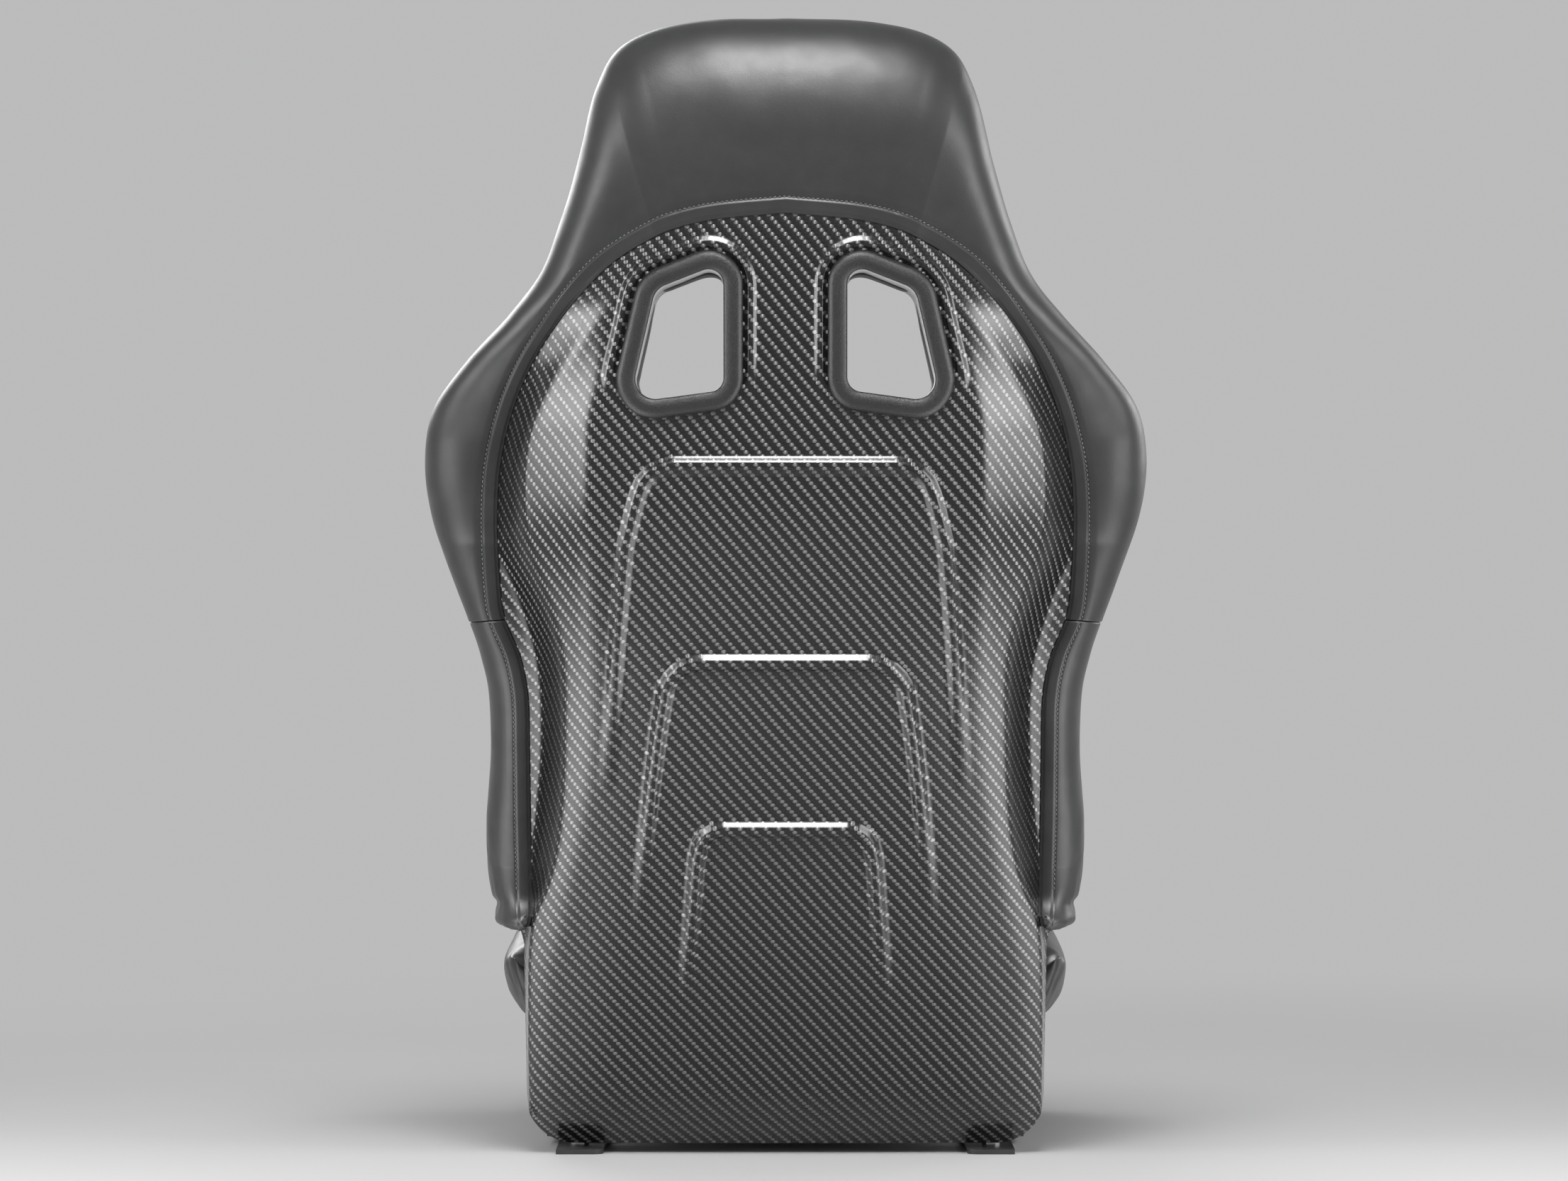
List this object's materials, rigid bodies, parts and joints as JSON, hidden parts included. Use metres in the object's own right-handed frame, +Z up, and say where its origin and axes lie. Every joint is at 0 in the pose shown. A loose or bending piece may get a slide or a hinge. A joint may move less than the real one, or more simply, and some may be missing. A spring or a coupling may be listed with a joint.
{
  "type": "racing seat",
  "caption": "Reclining racing seat with a carbon back shell, leather bolsters, two belt openings and a cushioned base on side members.",
  "frame": {"origin": "centre of the four base bolts, on the plane that the seat is bolted to", "axes": "+Z up, -Y the way the sitter faces, +X towards the sitter's left"},
  "size_m": [0.5872, 0.7548, 0.9256],
  "materials": {
    "carbon_twill": "clear-coated black carbon fibre twill",
    "bolster_leather": "smooth satin black leather over foam",
    "insert_leather": "perforated black leather over foam",
    "bezel_plastic": "fine-grained black plastic",
    "liner_plastic": "satin light grey plastic",
    "cover_plastic": "grained black plastic",
    "frame_steel": "black powder-coated steel",
    "zinc_steel": "zinc-plated steel",
    "black_screws": "black oxide steel"
  },
  "bodies": {
    "base": {"base_recliner_bolts": "zinc_steel", "base_front_tube": "frame_steel", "base_rear_tube": "frame_steel", "seat_pan": "frame_steel", "cushion": "insert_leather", "cushion_nose": "bolster_leather", "cover_screws": "black_screws", "weld_nuts": "zinc_steel", "recliner_outer_half_left": "zinc_steel", "side_member_left": "frame_steel", "thigh_bolster_left": "bolster_leather", "side_cover_left": "cover_plastic", "release_spring_left": "zinc_steel", "recliner_outer_half_right": "zinc_steel", "side_member_right": "frame_steel", "thigh_bolster_right": "bolster_leather", "side_cover_right": "cover_plastic", "release_spring_right": "zinc_steel"},
    "backrest": {"carbon_back_shell": "carbon_twill", "head_roll": "bolster_leather", "head_insert": "insert_leather", "lumbar_pad": "insert_leather", "upper_back_pad": "insert_leather", "suspension_panel": "cover_plastic", "back_top_tube": "frame_steel", "back_middle_tube": "frame_steel", "back_lower_tube": "frame_steel", "shell_mounts": "frame_steel", "back_recliner_bolts": "zinc_steel", "shoulder_bolster_left": "bolster_leather", "torso_bolster_left": "bolster_leather", "belt_bezel_left": "bezel_plastic", "belt_liner_left": "liner_plastic", "belt_front_bezel_left": "bezel_plastic", "back_upright_left": "frame_steel", "recliner_upper_plate_left": "frame_steel", "recliner_inner_half_left": "zinc_steel", "shoulder_bolster_right": "bolster_leather", "torso_bolster_right": "bolster_leather", "belt_bezel_right": "bezel_plastic", "belt_liner_right": "liner_plastic", "belt_front_bezel_right": "bezel_plastic", "back_upright_right": "frame_steel", "recliner_upper_plate_right": "frame_steel", "recliner_inner_half_right": "zinc_steel"},
    "release": {"release_rod": "zinc_steel", "release_lever_left": "cover_plastic", "release_lever_right": "cover_plastic"}
  },
  "joints": [
    {"name": "recline", "type": "hinge", "parent": "base", "child": "backrest", "pos_m": [0, 0.175, 0.102], "axis": [-1, 0, 0], "range_deg": [-6, 35]},
    {"name": "release_pull", "type": "hinge", "parent": "base", "child": "release", "pos_m": [0, 0.175, 0.102], "axis": [-1, 0, 0], "range_deg": [0, 9], "stiffness_Nm_per_rad": 6, "springref_deg": -11.46}
  ]
}
